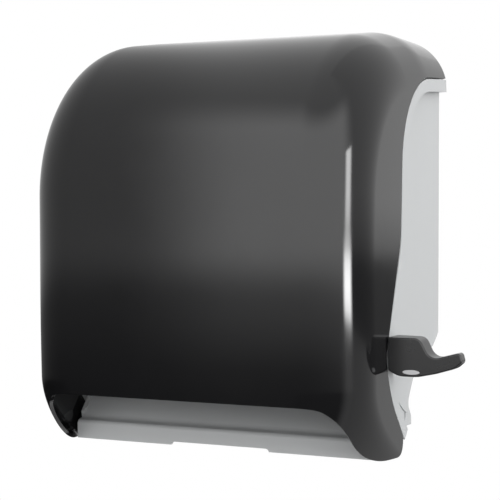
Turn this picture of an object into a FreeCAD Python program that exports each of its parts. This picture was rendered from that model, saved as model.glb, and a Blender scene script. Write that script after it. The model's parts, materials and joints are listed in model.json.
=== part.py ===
import FreeCAD, Part
import math
import os
import re
import Sketcher
from FreeCAD import Placement, Rotation, Vector

# Lever paper towel dispenser, in millimetres.
# The pieces are drawn on a bench frame: X to the viewer's right, Y towards the wall (the wall is Y = 0),
# Z up from the lowest point of the cover. Each piece is then lowered by mountHeight, which puts the
# origin at the middle of the four wall screws, on the back face.

SIZES = [
    ("mountHeight", 195, "middle of the wall screws above the cover's lowest point"),
    ("coverWidth", 278, "cover, side to side"),
    ("coverDepth", 216, "cover, wall to front"),
    ("coverHeight", 330, "cover, lowest point to top"),
    ("coverWall", 2.8, "cover's wall"),
    ("crownRadius", 106, "rolled top-front edge of the cover"),
    ("cornerRadius", 45, "cover's side corners, top and front"),
    ("bellyHeight", 118, "height at which the front starts to turn in"),
    ("footTuck", 4.6, "how far the front has turned in at the bottom"),
    ("archHeight", 47.3, "height of the front arch edge"),
    ("archRound", 8, "rounding between the front arch edge and the legs' front edges"),
    ("legSlope", 64.2, "angle of the legs' front edges from level"),
    ("legSweep", 50, "radius under the legs' front edges"),
    ("edgeTop", 296.5, "cover's side edge at the wall"),
    ("edgeFall", 0.068, "slope of the side edge's top run"),
    ("edgeShoulder", 111, "side edge's shoulder, out from the wall"),
    ("shoulderRadius", 72, "side edge's shoulder"),
    ("edgeWaistOut", 114.8, "side edge's waist, out from the wall"),
    ("edgeWaistHeight", 162, "side edge's waist, height"),
    ("waistRadius", 60, "side edge's waist"),
    ("noseRadius", 20, "side edge where it turns back above the lever"),
    ("leverOut", 56, "lever pivot, out from the wall"),
    ("leverHeight", 95, "lever pivot, height"),
    ("sweepRadius", 92.8, "side edge that the lever sweeps along"),
    ("sweepStart", 195, "start of the swept edge, degrees round the lever pivot"),
    ("sweepEnd", 222.5, "end of the swept edge, degrees round the lever pivot"),
    ("hingeOut", 121, "cover hinge, out from the wall"),
    ("hingeHeight", 12, "cover hinge, height"),
    ("hingePin", 3, "radius of the cover's hinge pins"),
    ("panelWidth", 264, "chassis over its side panels"),
    ("panelWall", 3, "chassis side panels"),
    ("plateWall", 3, "chassis back wall"),
    ("plateBottom", 86, "lower edge of the back wall"),
    ("rimReach", 6.5, "how far the rims stand out from the panels"),
    ("rimWidth", 10, "width of the rims seen from the side"),
    ("rimGap", 1.2, "gap between the cover's edge and the rims"),
    ("tuck", 11, "how far the panels reach in under the cover"),
    ("screwSpanX", 160, "wall screws, across"),
    ("screwSpanZ", 150, "wall screws, up and down"),
    ("screwHole", 2.75, "radius of the wall screw holes"),
    ("slotInner", 70, "inner radius of the lever's slot"),
    ("slotOuter", 80.5, "outer radius of the lever's slot"),
    ("leverTravel", 34, "lever's travel in degrees"),
    ("chuteOut", 144.5, "chute's lip, out from the wall"),
    ("lipHeight", 14.2, "height of the lip's front face"),
    ("lipBottom", 1.8, "lower edge of the lip"),
    ("chuteWall", 2.5, "chute's wall"),
    ("rampSlope", 47.6, "ramp's angle from level"),
    ("rampTop", 75, "height of the ramp's upper end"),
    ("notchHalf", 43, "half the width of the notch in the lip"),
    ("notchRise", 2.5, "height of the notch in the lip"),
    ("gearModule", 1.5, "module of the lever's gears"),
    ("sectorTeeth", 60, "teeth on the sector's full circle"),
    ("pinionTeeth", 15, "teeth on the drive pinion"),
    ("gearWidth", 7, "face width of the gears"),
    ("meshAngle", 185, "feed shaft, degrees round the lever pivot"),
    ("feedRadius", 20, "rubber sleeves of the feed roller"),
    ("coreRadius", 16, "feed roller's plastic core"),
    ("shaftRadius", 4, "feed shaft"),
    ("pinchRadius", 10, "pinch rollers"),
    ("nipGap", 0.3, "room between feed and pinch rollers"),
    ("pinchShaft", 2.5, "radius of the pinch shaft"),
    ("rodRadius", 3, "radius of the pinch frame's rod"),
    ("rodOut", 62, "pinch frame's rod, out from the wall"),
    ("rodHeight", 116, "pinch frame's rod, height"),
    ("rollRadius", 101.6, "full towel roll"),
    ("rollWidth", 203.2, "standard towel roll, width"),
    ("rollOut", 108, "roll's axis, out from the wall"),
    ("rollHeight", 221, "roll's axis, height"),
    ("armThick", 4, "roll arms"),
    ("armOffset", 4.4, "roll arm's inner face beyond the roll's end"),
    ("armPinOut", 14, "roll arm's pin, out from the wall"),
    ("armPin", 3, "radius of the roll arms' pins"),
    ("stubRadius", 8, "stub axle on each roll arm"),
    ("hubRadius", 18.6, "hub that goes into the roll's core"),
    ("runFit", 0.05, "running clearance on radius"),
    ("pressFit", 0.02, "seat clearance on radius"),
    ("shelfDrop", 12, "underside of the lock shelf below the cover's top"),
    ("lockOut", 28, "lock's axis, out from the wall"),
    ("barrelRadius", 8, "lock barrel"),
    ("plugRadius", 5, "lock plug"),
    ("railOut", 178, "front face of the front rail, out from the wall"),
    ("railBottom", 47, "lower edge of the front rail"),
    ("barDrop", 2.6, "how far the tear bar hangs below the rail"),
    ("toothPitch", 4, "pitch of the tear bar's teeth"),
]

doc = FreeCAD.newDocument("TowelDispenser")
sheet = doc.addObject("Spreadsheet::Sheet", "Dims")
for row, (alias, number, words) in enumerate(SIZES, 1):
    sheet.set("A%d" % row, words)
    sheet.set("B%d" % row, str(number))
    sheet.setAlias("B%d" % row, alias)
doc.recompute()

ALIASES = {alias for alias, number, words in SIZES}
pieces = []


def tied(formula):
    """A formula written with bare aliases, led by the sheet's name."""
    lead = lambda word: "Dims." + word[0] if word[0] in ALIASES else word[0]
    return re.sub(r"[A-Za-z]\w*", lead, str(formula))


def value(formula):
    """What a formula of the sheet's dimensions comes to."""
    return float(sheet.evalExpression(tied(formula)))


def bind(thing, field, formula):
    """Ties a property of an object to a formula of the sheet's dimensions."""
    thing.setExpression(field, tied(formula))


def keep(thing, label, lower=True):
    """Takes an object as a piece of the dispenser, lowered from the bench frame to the wall frame."""
    thing.Label = label
    if lower:
        bound = {field.lstrip("."): formula for field, formula in thing.ExpressionEngine}
        height = bound.get("Placement.Base.z", str(thing.Placement.Base.z))
        thing.setExpression("Placement.Base.z", "%s - Dims.mountHeight" % height)
    pieces.append(thing)
    return thing


def new_body(label, at=("0", "0", "0")):
    """A body for one piece, at a place on the bench."""
    body = doc.addObject("PartDesign::Body", label)
    bind(body, "Placement.Base.x", at[0])
    bind(body, "Placement.Base.y", at[1])
    bind(body, "Placement.Base.z", "%s - mountHeight" % at[2])
    return keep(body, label, lower=False)


def sketch_on(body, name, role, lift="0"):
    """A sketch on one of the body's own planes, lifted along the plane's normal.

    YZ_Plane: sketch x is Y, sketch y is Z, lift is X. XZ_Plane: x is X, y is Z, lift is out from the wall.
    XY_Plane: x is X, y is Y, lift is Z.
    """
    sketch = body.newObject("Sketcher::SketchObject", name)
    plane = [feature for feature in body.Origin.OriginFeatures if feature.Role == role][0]
    sketch.AttachmentSupport = [(plane, "")]
    sketch.MapMode = "FlatFace"
    bind(sketch, "AttachmentOffset.Base.z", lift)
    return sketch


def hold(sketch, element, end, x, y):
    """Fixes one end of a sketch element at formulas for its x and y."""
    for kind, formula in (("DistanceX", x), ("DistanceY", y)):
        number = sketch.addConstraint(Sketcher.Constraint(kind, -1, 1, element, end, value(formula)))
        bind(sketch, "Constraints[%d]" % number, formula)


def polygon(sketch, corners):
    """A closed run of lines whose corners are bound to formulas."""
    places = [Vector(value(x), value(y), 0) for x, y in corners]
    first = sketch.GeometryCount
    count = len(corners)
    for index in range(count):
        sketch.addGeometry(Part.LineSegment(places[index], places[(index + 1) % count]), False)
    for index in range(count):
        following = first + (index + 1) % count
        sketch.addConstraint(Sketcher.Constraint("Coincident", first + index, 2, following, 1))
    for index, (x, y) in enumerate(corners):
        hold(sketch, first + index, 1, x, y)
    return sketch


def circle(sketch, x, y, radius):
    """A circle whose centre and radius are bound to formulas."""
    centre = Vector(value(x), value(y), 0)
    number = sketch.addGeometry(Part.Circle(centre, Vector(0, 0, 1), value(radius)), False)
    hold(sketch, number, 3, x, y)
    bound = sketch.addConstraint(Sketcher.Constraint("Radius", number, value(radius)))
    bind(sketch, "Constraints[%d]" % bound, radius)
    return sketch


def rounded_run(corners, closed=True):
    """Lines and tangent arcs through corners given as (x, y, radius)."""
    count = len(corners)
    cuts = []
    for index, (x, y, radius) in enumerate(corners):
        here = Vector(x, y, 0)
        if radius <= 0 or (not closed and index in (0, count - 1)):
            cuts.append((here, None, here))
            continue
        back = Vector(*corners[index - 1][:2], 0) - here
        ahead = Vector(*corners[(index + 1) % count][:2], 0) - here
        back.normalize()
        ahead.normalize()
        half = back.getAngle(ahead) / 2
        middle = back + ahead
        middle.normalize()
        reach = radius / math.tan(half)
        summit = here + middle * (radius / math.sin(half) - radius)
        cuts.append((here + back * reach, summit, here + ahead * reach))
    elements = []
    for index in range(count):
        start, summit, end = cuts[index]
        if summit is not None:
            elements.append(Part.Arc(start, summit, end))
        if index < count - 1 or closed:
            following = cuts[(index + 1) % count][0]
            if end.distanceToPoint(following) > 1e-6:
                elements.append(Part.LineSegment(end, following))
    return elements


def join_ends(sketch, first):
    """Ties each element of a closed run, from the first on, to the one after it where their ends meet."""
    count = sketch.GeometryCount - first
    for index in range(count):
        here = first + index
        following = first + (index + 1) % count
        meeting = [(a, b) for a in (1, 2) for b in (1, 2)
                   if sketch.getPoint(here, a).distanceToPoint(sketch.getPoint(following, b)) < 1e-6]
        sketch.addConstraint(Sketcher.Constraint("Coincident", here, meeting[0][0], following, meeting[0][1]))


def outline(sketch, corners):
    """A closed outline of lines and tangent arcs, from corners given as (x, y, radius)."""
    first = sketch.GeometryCount
    sketch.addGeometry(rounded_run(corners), False)
    join_ends(sketch, first)
    return sketch


def beside(path, shift):
    """An open rounded path moved to its own left by shift, its corner radii kept concentric."""
    moved = []
    for index, (x, y, radius) in enumerate(path):
        here = Vector(x, y, 0)
        before = here - Vector(*path[index - 1][:2], 0) if index else None
        after = Vector(*path[index + 1][:2], 0) - here if index < len(path) - 1 else None
        before = after if before is None else before
        after = before if after is None else after
        before.normalize()
        after.normalize()
        left = Vector(-before.y, before.x, 0)
        turn = before.cross(after).z
        half = before.getAngle(after) / 2
        along = math.copysign(math.tan(half), turn) if half else 0
        place = here + left * shift - before * (along * shift)
        rounding = radius - math.copysign(1, turn) * shift if radius else 0
        moved.append((place.x, place.y, rounding))
    return moved


def feature(body, kind, name, sketch, length, midplane=False):
    """A pad, or a pocket that cuts the same way as a pad fills: along the sketch's normal."""
    made = body.newObject("PartDesign::" + kind, name)
    made.Profile = sketch
    bind(made, "Length", length)
    made.Midplane = midplane
    made.Refine = False
    if kind == "Pocket" and not midplane:
        made.Reversed = True
    sketch.Visibility = False
    body.Tip = made
    return made


def pad(body, name, sketch, length, midplane=False):
    return feature(body, "Pad", name, sketch, length, midplane)


def pocket(body, name, sketch, length, midplane=False):
    """A pocket that has to take something away."""
    before = body.Tip
    made = feature(body, "Pocket", name, sketch, length, midplane)
    doc.recompute()
    assert made.Shape.Volume < before.Shape.Volume - 1e-6, name
    return made


def mirrored(body, name, originals, role="YZ_Plane"):
    """The features again on the other side of one of the body's planes."""
    made = body.newObject("PartDesign::Mirrored", name)
    made.Originals = originals
    plane = [feature for feature in body.Origin.OriginFeatures if feature.Role == role][0]
    made.MirrorPlane = (plane, [""])
    body.Tip = made
    return made


def round_edges(body, name, radius, chosen):
    """Rounds the edges of the body's tip that a test picks out."""
    doc.recompute()
    base = body.Tip
    names = ["Edge%d" % (n + 1) for n, edge in enumerate(base.Shape.Edges) if chosen(edge)]
    assert names, name
    made = body.newObject("PartDesign::Fillet", name)
    made.Base = (base, names)
    bind(made, "Radius", radius)
    body.Tip = made
    return made


def rod(label, radius, length, at, along="X", sides=0):
    """A plain bar that runs along X, Y or Z from its place: a cylinder, or a prism where it has sides."""
    bar = doc.addObject("Part::Prism" if sides else "Part::Cylinder", label)
    if sides:
        bar.Polygon = sides
    bind(bar, "Circumradius" if sides else "Radius", radius)
    bind(bar, "Height", length)
    turn = {"X": Rotation(Vector(0, 1, 0), 90), "Y": Rotation(Vector(1, 0, 0), -90), "Z": Rotation()}[along]
    bar.Placement = Placement(Vector(), turn)
    bind(bar, "Placement.Base.x", at[0])
    bind(bar, "Placement.Base.y", at[1])
    bind(bar, "Placement.Base.z", at[2])
    return bar


# Places that several pieces share, as formulas on the bench frame.

HALF = "coverWidth / 2"
SHELF = "(coverHeight - shelfDrop)"
PANEL = "panelWidth / 2"
PANEL_IN = "(panelWidth / 2 - panelWall)"
HINGE_Y = "-hingeOut"
LEVER_Y = "-leverOut"
MESH_SPAN = "(gearModule * (sectorTeeth + pinionTeeth) / 2)"
FEED_Y = "(-leverOut + %s * cos(meshAngle * 1 deg))" % MESH_SPAN
FEED_Z = "(leverHeight + %s * sin(meshAngle * 1 deg))" % MESH_SPAN
PINCH_Y = "(%s + feedRadius + pinchRadius + nipGap)" % FEED_Y
PINCH_Z = FEED_Z
GEAR_PLATE = 99
GEAR_PLATE_WALL = 2
GEAR_IN = 103
ARM_IN = 119
ARM_WALL = 7
PLATE_SCREWS = (95, 111)
TEAR_SCREWS = (-105, -35, 35, 105)
BANDS = (-70, 0, 64)
PINCH_SPRING_TURN = (60, 120)
LEVER_ANGLE = 189
INSET = (157.4, 68.9, 6.5, 1.7)


def swept(radius, degrees):
    """A point round the lever's pivot, in Y and Z."""
    angle = math.radians(degrees)
    return (value(LEVER_Y) + radius * math.cos(angle), value("leverHeight") + radius * math.sin(angle))


def edge_path():
    """The cover's side edge, from the wall down to the heel of its leg and forward under it.

    Below its nose the edge is an arc round the lever's pivot; it then runs straight, and its heel is
    an arc round the hinge. The arcs are given by the corners of their tangents.
    """
    radius = value("sweepRadius")
    start = value("sweepStart")
    end = value("sweepEnd")
    half = (end - start) / 2
    nose = swept(radius, start)
    tangent = math.radians(start)
    rise = value("noseRadius") * 0.45
    corner = swept(radius / math.cos(math.radians(half)), (start + end) / 2)
    low = swept(radius, end)
    heading = (-math.sin(math.radians(end)), math.cos(math.radians(end)))
    to_hinge = (value(HINGE_Y) - low[0], value("hingeHeight") - low[1])
    heel = abs(heading[0] * to_hinge[1] - heading[1] * to_hinge[0])
    bottom = value("hingeHeight") - heel
    run = (bottom - low[1]) / heading[1]
    arch = (-value("coverDepth - footTuck - 0.4"), value("archHeight"))
    toe = arch[0] + (arch[1] - bottom) / math.tan(math.radians(value("legSlope")))
    return [
        (-0.1, value("edgeTop"), 0),
        (-value("edgeShoulder"), value("edgeTop - edgeFall * edgeShoulder"), value("shoulderRadius")),
        (-value("edgeWaistOut"), value("edgeWaistHeight"), value("waistRadius")),
        (nose[0] + rise * math.sin(tangent), nose[1] - rise * math.cos(tangent), value("noseRadius")),
        (corner[0], corner[1], radius),
        (low[0] + run * heading[0], bottom, heel),
        (toe, bottom, value("legSweep")),
        (arch[0], arch[1], value("archRound")),
    ]


def on_face(edge, axis, place):
    """Whether a whole edge lies in the plane where the axis has that value."""
    return all(abs(getattr(point, axis) - place) < 1e-4 for point in edge.discretize(5))


def cover_body():
    """Glossy shell: a rolled crown, round corners, a front arch between two legs, hinge bosses."""
    body = new_body("front_cover")
    depth = -value("coverDepth")
    top = value("coverHeight")
    belly = value("bellyHeight")
    crown = value("crownRadius")
    soft = value("coverHeight")
    under = -10
    tucked = depth + value("footTuck") * (belly - under) / belly

    shell = sketch_on(body, "Side", "YZ_Plane")
    outline(shell, [(tucked, under, 0), (depth, belly, soft), (depth, top, crown), (0, top, 0),
                    (0, under, 0)])
    pad(body, "Shell", shell, "coverWidth", midplane=True)
    side = value(HALF)

    def side_loop(place):
        return lambda edge: ((on_face(edge, "x", place) or on_face(edge, "x", -place))
                             and not on_face(edge, "y", 0) and not on_face(edge, "z", under))

    round_edges(body, "Corners", "cornerRadius", side_loop(side))
    doc.recompute()
    solid = body.Tip
    boxes = [face.BoundBox for face in solid.Shape.Faces]
    openings = ["Face%d" % (n + 1) for n, box in enumerate(boxes)
                if (box.YMin > -1e-4 and box.YMax < 1e-4) or box.ZMax < under + 1e-4]
    hollow = body.newObject("PartDesign::Thickness", "Hollow")
    hollow.Base = (solid, openings)
    bind(hollow, "Value", "coverWall")
    hollow.Reversed = True
    body.Tip = hollow
    edge = edge_path()
    front = depth - 20
    below = under - 10
    side_edge = sketch_on(body, "SideEdge", "YZ_Plane")
    outline(side_edge, [(20, value("edgeTop"), 0)] + edge[1:] + [(front, value("archHeight"), 0),
                                                               (front, below, 0), (20, below, 0)])
    pocket(body, "SideEdgeCut", side_edge, "coverWidth + 20", midplane=True)

    boss_length = "coverWidth / 2 - coverWall - panelWidth / 2 - 0.6"
    boss = sketch_on(body, "HingeBoss", "YZ_Plane", "panelWidth / 2 + 0.6")
    circle(boss, HINGE_Y, "hingeHeight", "hingePin + 4.5")
    knuckle = pad(body, "HingeKnuckle", boss, boss_length + " + 0.4")
    mirrored(body, "HingeKnuckles", [knuckle])
    hole = sketch_on(body, "HingeHole", "YZ_Plane")
    circle(hole, HINGE_Y, "hingeHeight", "hingePin + runFit")
    pocket(body, "HingeHoles", hole, "coverWidth - 2 * coverWall + 1", midplane=True)
    lock = sketch_on(body, "LockHole", "XY_Plane", "coverHeight - coverWall - 5")
    circle(lock, "0", "-lockOut", "barrelRadius + 0.1")
    pocket(body, "LockSeat", lock, "20")
    return body


def band(path, near, far):
    """A closed strip along an open path, between two distances to the path's left."""
    return beside(path, near) + beside(path, far)[::-1]


def chassis_body():
    """Grey moulding: back wall, side panels with the cover's rims, floor, lock shelf and brackets."""
    body = new_body("wall_chassis")
    edge = edge_path()
    gap = value("rimGap")

    back = sketch_on(body, "BackOutline", "XZ_Plane")
    side = value(PANEL)
    shelf_top = value(SHELF) + 5
    low = value("plateBottom")
    high = value("edgeTop") + 2.5
    outline(back, [(-side, low, 0), (side, low, 0), (side, high, 8), (side - 40, shelf_top, 12),
                   (-side + 40, shelf_top, 12), (-side, high, 8)])
    pad(body, "BackWall", back, "plateWall")

    tuck = value("tuck")
    hidden = beside(edge[:4], -tuck)
    rail_front = -value("railOut") - 2
    rail_top = value("railBottom") + 40
    lug = value("hingePin") + 6
    hinge = (value(HINGE_Y), value("hingeHeight"))
    panel = sketch_on(body, "PanelOutline", "YZ_Plane", PANEL_IN)
    outline(panel, [(0, value("plateBottom"), 8), (0, value("edgeTop") + 2.5, 0),
                    (hidden[1][0], value("edgeTop") - 4, 0), (hidden[2][0], hidden[2][1], 0),
                    (hidden[3][0] - 6, hidden[3][1] + 18, 0), (rail_front, rail_top, 12),
                    (rail_front, value("railBottom") - 1.5, 0), (-119, 39, 0), (hinge[0] - 13, 22, 0),
                    (hinge[0] - lug, hinge[1] - lug + 1, 7.5), (hinge[0] + lug, hinge[1] - lug + 1, 7.5),
                    (hinge[0] + lug, 20.5, 0), (-70, 19, 0), (-70, 26, 4), (-79, 36.5, 8), (-66, 54, 10),
                    (-38, 72.5, 14), (-15, 76, 10)][::-1])
    panel_pad = pad(body, "Panel", panel, "panelWall")
    mirrored(body, "Panels", [panel_pad])

    rim = sketch_on(body, "RimOutline", "YZ_Plane", "panelWidth / 2 - 0.5")
    rim_path = edge[:5]
    heel = edge[5]
    before = edge[4]
    share = 0.78
    rim_path.append((before[0] + (heel[0] - before[0]) * share, before[1] + (heel[1] - before[1]) * share, 0))
    rim_path[0] = (-1.5, value("edgeTop - edgeFall * 1.5"), 0)
    outline(rim, band(rim_path, gap, gap + value("rimWidth")))
    rim_pad = pad(body, "Rim", rim, "rimReach + 0.5")
    mirrored(body, "Rims", [rim_pad])

    floor = sketch_on(body, "FloorOutline", "YZ_Plane")
    floor_path = [(-0.5, low + 1, 0), (-15, 76.5, 10), (-38, 73, 14), (-66, 54.5, 10), (-79, 37, 0)]
    outline(floor, band(floor_path, 0, -2.5))
    pad(body, "Floor", floor, "panelWidth - panelWall", midplane=True)

    shelf = sketch_on(body, "ShelfOutline", "XY_Plane", SHELF)
    notch = "(barrelRadius + 2)"
    deep = "-lockOut + " + notch
    polygon(shelf, [("-50", "-1"), ("50", "-1"), ("44", "-50"), (notch, "-50"), (notch, deep), ("-" + notch, deep),
                    ("-" + notch, "-50"), ("-44", "-50")])
    pad(body, "LockShelf", shelf, "3")
    strike = sketch_on(body, "StrikeOutline", "XY_Plane", "%s - 18" % SHELF)
    near, far = ("barrelRadius + 3", "barrelRadius + 22")
    front, back = ("-lockOut - plugRadius - 5.5", "-lockOut - plugRadius - 2.5")
    polygon(strike, [(near, front), (far, front), (far, back), (near, back)])
    strike_pad = pad(body, "Strike", strike, "18.5")
    mirrored(body, "Strikes", [strike_pad])
    gusset = sketch_on(body, "GussetOutline", "YZ_Plane", "40")
    under = "%s - 26" % SHELF
    over = "%s + 1" % SHELF
    polygon(gusset, [("-1", over), ("-1", under), ("-5", under), ("-30", over)])
    gusset_pad = pad(body, "Gusset", gusset, "2.5")
    mirrored(body, "Gussets", [gusset_pad])

    for name, low_face in (("Lower", "rollHeight - 20"), ("Upper", "rollHeight + 16")):
        ear = sketch_on(body, name + "Ear", "XY_Plane", low_face)
        x = value("rollWidth / 2 + armOffset + armThick")
        y = -value("armPinOut")
        outline(ear, [(x - 10, -1, 0), (x - 8, y - 8, 7), (x + 8, y - 8, 7), (x + 10, -1, 0)])
        ear_pad = pad(body, name + "EarPad", ear, "4")
        mirrored(body, name + "Ears", [ear_pad])

    boss = sketch_on(body, "HingeBoss", "YZ_Plane", "%s - 5" % PANEL_IN)
    circle(boss, HINGE_Y, "hingeHeight", "hingePin + 4")
    boss_pad = pad(body, "HingeBossPad", boss, "6")
    mirrored(body, "HingeBosses", [boss_pad])
    carrier = sketch_on(body, "LeftCarrier", "YZ_Plane", "-%s - 0.5" % PANEL_IN)
    circle(carrier, FEED_Y, FEED_Z, "shaftRadius + 8")
    pad(body, "LeftCarrierPad", carrier, "7")
    rod_boss = sketch_on(body, "RodBoss", "YZ_Plane", "-%s - 0.5" % PANEL_IN)
    circle(rod_boss, "-rodOut", "rodHeight", "rodRadius + 4")
    pad(body, "RodBossPad", rod_boss, "7")
    pin_boss = sketch_on(body, "LeverBoss", "YZ_Plane", "%s - 1.5" % PANEL_IN)
    circle(pin_boss, LEVER_Y, "leverHeight", "13")
    pad(body, "LeverBossPad", pin_boss, "2")

    for number, x in enumerate((-96, -48, 0, 48)):
        rib = sketch_on(body, "WallRib%d" % number, "XZ_Plane", "plateWall - 0.5")
        foot, head = ("plateBottom + 4", "plateBottom + 34")
        polygon(rib, [(str(x), foot), (str(x + 2), foot), (str(x + 2), head), (str(x), head)])
        pad(body, "WallRibPad%d" % number, rib, "9")
    cross_rib = sketch_on(body, "CrossRib", "XZ_Plane", "plateWall - 0.5")
    left_end = "-panelWidth / 2 + 2"
    foot, head = ("plateBottom + 32", "plateBottom + 34")
    polygon(cross_rib, [(left_end, foot), ("60", foot), ("60", head), (left_end, head)])
    pad(body, "CrossRibPad", cross_rib, "6")

    corners = [("%sscrewSpanX / 2" % across, "mountHeight %s screwSpanZ / 2" % up)
               for across in ("-", "") for up in ("-", "+")]
    screws = sketch_on(body, "WallScrewHoles", "XZ_Plane", "-1")
    for x, z in corners:
        circle(screws, x, z, "screwHole")
    pocket(body, "WallScrewCut", screws, "plateWall + 3")
    sinks = sketch_on(body, "WallScrewSinks", "XZ_Plane", "plateWall - 1")
    for x, z in corners:
        circle(sinks, x, z, "screwHole * 2.2")
    pocket(body, "WallScrewSeats", sinks, "3")

    plate_screws = sketch_on(body, "PlateScrewHoles", "XZ_Plane", "0.5")
    for z in PLATE_SCREWS:
        circle(plate_screws, str(GEAR_PLATE - 8), str(z), "1.9 + pressFit")
    pocket(body, "PlateScrewSeats", plate_screws, "4")
    hinges = sketch_on(body, "HingeHole", "YZ_Plane")
    circle(hinges, HINGE_Y, "hingeHeight", "hingePin + pressFit")
    pocket(body, "HingeHoles", hinges, "panelWidth + 4", midplane=True)
    bush = sketch_on(body, "BushHole", "YZ_Plane", "-%s - 1" % PANEL)
    circle(bush, FEED_Y, FEED_Z, "shaftRadius + 3 + pressFit")
    pocket(body, "BushSeat", bush, "15")
    rods = sketch_on(body, "RodHole", "YZ_Plane", "-%s + 1" % PANEL)
    circle(rods, "-rodOut", "rodHeight", "rodRadius + pressFit")
    pocket(body, "RodSeat", rods, "15")
    pins = sketch_on(body, "LeverPinHole", "YZ_Plane", "%s - 4" % PANEL_IN)
    circle(pins, LEVER_Y, "leverHeight", "5 + pressFit")
    pocket(body, "LeverPinSeat", pins, "6")
    ear_pins = sketch_on(body, "ArmPinHoles", "XY_Plane", "rollHeight - 25")
    for sign in ("-", ""):
        circle(ear_pins, "%s(rollWidth / 2 + armOffset + armThick)" % sign, "-armPinOut", "armPin + pressFit")
    pocket(body, "ArmPinSeats", ear_pins, "50")

    slot = sketch_on(body, "SlotOutline", "YZ_Plane", "%s - 2" % PANEL_IN)
    arc_slot(slot, value("slotInner"), value("slotOuter"), 181.5, 196 + value("leverTravel") + 1)
    pocket(body, "LeverSlot", slot, "panelWall + rimReach + 3")
    groove = sketch_on(body, "GrooveOutline", "YZ_Plane", "%s - 1.2" % PANEL)
    arc_slot(groove, value("slotInner"), value("slotOuter"), 181.5, 248)
    pocket(body, "LeverGroove", groove, "1.2")
    return body


def arc_slot(sketch, inner, outer, start, end):
    """A curved slot round the lever's pivot, between two radii and two angles."""
    middle = (start + end) / 2
    points = {name: Vector(*swept(radius, angle), 0) for name, radius, angle in (
        ("a", inner, start), ("b", inner, middle), ("c", inner, end),
        ("d", outer, end), ("e", outer, middle), ("f", outer, start))}
    sketch.addGeometry([
        Part.Arc(points["a"], points["b"], points["c"]), Part.LineSegment(points["c"], points["d"]),
        Part.Arc(points["d"], points["e"], points["f"]), Part.LineSegment(points["f"], points["a"])], False)
    join_ends(sketch, 0)


# Short ways to the plain shapes that the smaller pieces are made of.

def block(name, size, at):
    """A rectangular block from its low corner."""
    made = doc.addObject("Part::Box", name)
    for field, formula in zip(("Length", "Width", "Height"), size):
        bind(made, field, formula)
    for axis, formula in zip("xyz", at):
        bind(made, "Placement.Base." + axis, formula)
    return made


def together(name, members):
    """Several shapes as one."""
    made = doc.addObject("Part::MultiFuse", name)
    made.Shapes = members
    return made


def group(name, members):
    """Several alike solids as one piece, left apart."""
    made = doc.addObject("Part::Compound", name)
    made.Links = members
    return made


def less(name, base, taken):
    """A shape with others cut out of it."""
    made = doc.addObject("Part::Cut", name)
    made.Base = base
    made.Tool = taken[0] if len(taken) == 1 else together(name + "Tools", taken)
    return made


def tube(name, outer, inner, length, at, along="X"):
    """A round bar with a bore right through it."""
    back = {axis: "%s - (%d)" % (place, axis == along) for axis, place in zip("XYZ", at)}
    bore = rod(name + "Bore", inner, "%s + 2" % length, [back[axis] for axis in "XYZ"], along)
    return less(name, rod(name + "Bar", outer, length, at, along), [bore])


def arc_from(start, tangent, end):
    """The arc that leaves a point along a tangent and ends at another."""
    chord = end - start
    across = tangent - chord * (tangent.dot(chord) / chord.dot(chord))
    turn = tangent.getAngle(chord)
    across.normalize()
    return Part.Arc(start, (start + end) / 2 + across * (chord.Length / 2 * math.tan(turn / 2)), end)


def biarc(start, leaving, end, arriving):
    """Two arcs that share a tangent, between two points with a tangent each."""
    chord = end - start
    both = leaving + arriving
    spread = 2 * (1 - leaving.dot(arriving))
    reach = (math.sqrt(chord.dot(both) ** 2 + spread * chord.dot(chord)) - chord.dot(both)) / spread
    middle = (start + leaving * reach + end - arriving * reach) / 2
    second = arc_from(end, arriving * -1, middle)
    return [arc_from(start, leaving, middle), second]


def coil(label, core, wire, pitch, turns, leg, foot):
    """A torsion spring round a core: one unbroken tube along a leg, quarter turns of a helix, and a foot.

    Its wire has six flats, which keeps the small hidden coils light.
    """
    mean = value("%s + runFit" % core) + wire / 2
    climb = pitch / (2 * math.pi)
    steps = int(turns * 4)

    def helix(step):
        angle = step * math.pi / 2
        place = Vector(mean * math.cos(angle), mean * math.sin(angle), climb * angle)
        tangent = Vector(-mean * math.sin(angle), mean * math.cos(angle), climb)
        tangent.normalize()
        return place, tangent

    first, leaving = helix(0)
    last, arriving = helix(steps)
    curves = [Part.LineSegment(first - leaving * leg, first)]
    for step in range(steps):
        curves += biarc(*helix(step), *helix(step + 1))
    curves.append(Part.LineSegment(last, last + arriving * foot))
    spine = Part.Wire(Part.__sortEdges__([curve.toShape() for curve in curves]))
    corners = [Rotation(Vector(0, 0, 1), 60 * number).multVec(Vector(wire / 2, 0, 0)) for number in range(7)]
    flats = Part.makePolygon(corners)
    flats.Placement = Placement(first - leaving * leg, Rotation(Vector(0, 0, 1), leaving))
    section = Part.Wire(flats.Edges)
    made = doc.addObject("Part::Feature", label)
    made.Shape = spine.makePipeShell([section], True, False)
    print("%s: %.2f mm between its turns" % (label, pitch * math.cos(climb / mean) - wire))
    return made


def involute(angle):
    return math.tan(angle) - angle


def gear_teeth(teeth, phase, count, addendum, play=0.05):
    """Points of a run of gear teeth round the origin: each flank is an involute drawn with three points.

    The first tooth is centred on phase, in degrees; play is taken off each flank.
    """
    module = value("gearModule")
    pitch = module * teeth / 2
    base = pitch * math.cos(math.radians(20))
    root = pitch - 1.25 * module
    tip = pitch + addendum * module
    low = max(root, base)
    half_tooth = math.pi / (2 * teeth) - play / pitch + involute(math.radians(20))
    points = []
    for number in range(count):
        centre = math.radians(phase) + number * 2 * math.pi / teeth
        flank = []
        for radius in (low, (low + tip) / 2, tip):
            flank.append((radius, half_tooth - involute(math.acos(base / radius))))
        if root < base:
            flank.insert(0, (root, flank[0][1]))
        points += [(radius, centre - half) for radius, half in flank]
        points += [(radius, centre + half) for radius, half in flank[::-1]]
    return [(radius * math.cos(angle), radius * math.sin(angle), 0) for radius, angle in points]


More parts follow.
